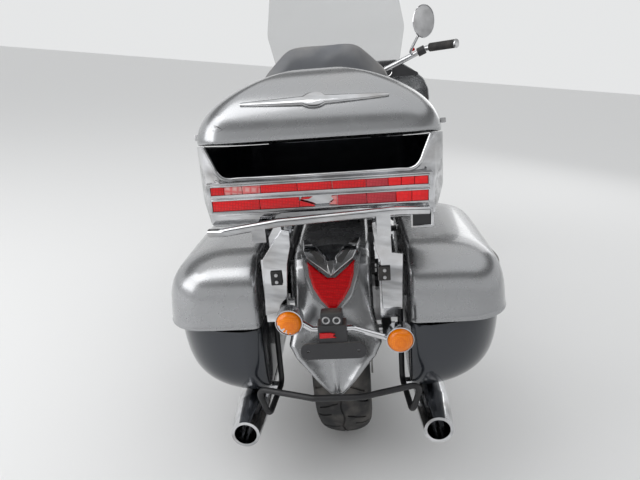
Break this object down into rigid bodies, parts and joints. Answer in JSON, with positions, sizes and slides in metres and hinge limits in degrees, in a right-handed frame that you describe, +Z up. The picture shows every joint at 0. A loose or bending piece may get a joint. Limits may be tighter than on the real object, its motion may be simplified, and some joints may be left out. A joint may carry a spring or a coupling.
{
  "type": "cruiser motorcycle",
  "caption": "Full-dress V-twin touring cruiser with fairing, side bags, trunk and side stand, shown from behind with the rear panel of its trunk missing.",
  "frame": {"origin": "on the floor, under the middle of the part's box", "axes": "+X forward, +Y to the rider's left, +Z up; the motorcycle leans towards +Y on its side stand"},
  "size_m": [2.5638, 0.9684, 1.5478],
  "materials": {
    "silver_paint": "metallic gloss",
    "slate_paint": "metallic gloss",
    "black_paint": "satin",
    "chrome": "polished",
    "alloy": "satin",
    "engine_black": "satin",
    "disc_steel": "brushed",
    "tyre_rubber": "matte",
    "soft_rubber": "matte",
    "seat_vinyl": "grained",
    "pad_vinyl": "grained and dusty",
    "black_plastic": "satin",
    "red_lens": "clear gloss",
    "amber_lens": "clear gloss",
    "clear_screen": "clear",
    "lamp_glass": "clear"
  },
  "bodies": {
    "chassis": {"frame_tubes": "black_paint", "swingarm": "black_paint", "rear_axle": "chrome", "rear_shocks": "chrome", "drive_belt": "soft_rubber", "rear_caliper": "alloy", "crankcase": "engine_black", "engine_covers": "chrome", "cylinders": "engine_black", "air_cleaner": "chrome", "radiator": "black_plastic", "exhaust_left": "chrome", "exhaust_right": "chrome", "fuel_tank": "silver_paint", "rider_seat": "seat_vinyl", "passenger_seat": "seat_vinyl", "backrest": "pad_vinyl", "side_covers": "slate_paint", "rear_fender": "silver_paint", "tail_lamp": "red_lens", "plate_bracket": "black_plastic", "signal_stalks": "chrome", "rear_signals": "amber_lens", "rear_guard": "black_paint", "trunk_rack": "chrome", "trunk_tub": "slate_paint", "light_bar": "chrome", "brake_strips": "red_lens", "bag_left": "slate_paint", "bag_right": "slate_paint", "fairing_shell": "silver_paint", "instrument_panel": "black_plastic", "gauges": "black_plastic", "windshield": "clear_screen", "headlamp": "lamp_glass", "passing_lamps": "lamp_glass", "front_signals": "amber_lens", "leg_shields": "slate_paint", "engine_guards": "chrome", "floorboards": "soft_rubber", "stand_bracket": "black_paint"},
    "steering": {"fork": "chrome", "front_axle": "chrome", "handlebar": "chrome", "hand_grips": "soft_rubber", "hand_controls": "black_plastic", "mirror_right": "chrome", "front_fender": "silver_paint", "front_calipers": "alloy"},
    "side_stand": {"side_stand": "chrome"},
    "trunk_lid": {"trunk_lid": "silver_paint"},
    "bag_lid_left": {"bag_lid_left": "silver_paint"},
    "bag_lid_right": {"bag_lid_right": "silver_paint"},
    "rear_wheel": {"rear_rim": "alloy", "rear_tyre": "tyre_rubber", "rear_disc": "disc_steel", "rear_pulley": "alloy"},
    "front_wheel": {"front_rim": "alloy", "front_tyre": "tyre_rubber", "front_discs": "disc_steel"}
  },
  "joints": [
    {"name": "steering_turn", "type": "hinge", "parent": "chassis", "child": "steering", "pos_m": [0.66034, 0.02415, 0.85621], "axis": [-0.4933, 0.125, 0.8608], "range_deg": [-56, 0]},
    {"name": "front_wheel_spin", "type": "hinge", "parent": "steering", "child": "front_wheel", "pos_m": [0.98334, -0.05286, 0.30394], "axis": [-0.4094, 0.8398, -0.3565], "continuous": true},
    {"name": "rear_wheel_spin", "type": "hinge", "parent": "chassis", "child": "rear_wheel", "pos_m": [-0.68091, -0.05563, 0.31982], "axis": [-0.0011, 0.9895, -0.1444], "continuous": true},
    {"name": "side_stand_fold", "type": "hinge", "parent": "chassis", "child": "side_stand", "pos_m": [0.0079, 0.09638, 0.1649], "axis": [0.1494, 0.7133, 0.6848], "range_deg": [0, 105.3]},
    {"name": "trunk_lid_hinge", "type": "hinge", "parent": "chassis", "child": "trunk_lid", "pos_m": [-0.80487, 0.03805, 0.96301], "axis": [-0.0011, 0.9895, -0.1444], "range_deg": [0, 45]},
    {"name": "bag_lid_left_hinge", "type": "hinge", "parent": "chassis", "child": "bag_lid_left", "pos_m": [-0.67978, 0.42817, 0.46348], "axis": [-1, 0, 0.0078], "range_deg": [0, 75]},
    {"name": "bag_lid_right_hinge", "type": "hinge", "parent": "chassis", "child": "bag_lid_right", "pos_m": [-0.67874, -0.47823, 0.5957], "axis": [1, 0, -0.0078], "range_deg": [0, 75]}
  ]
}
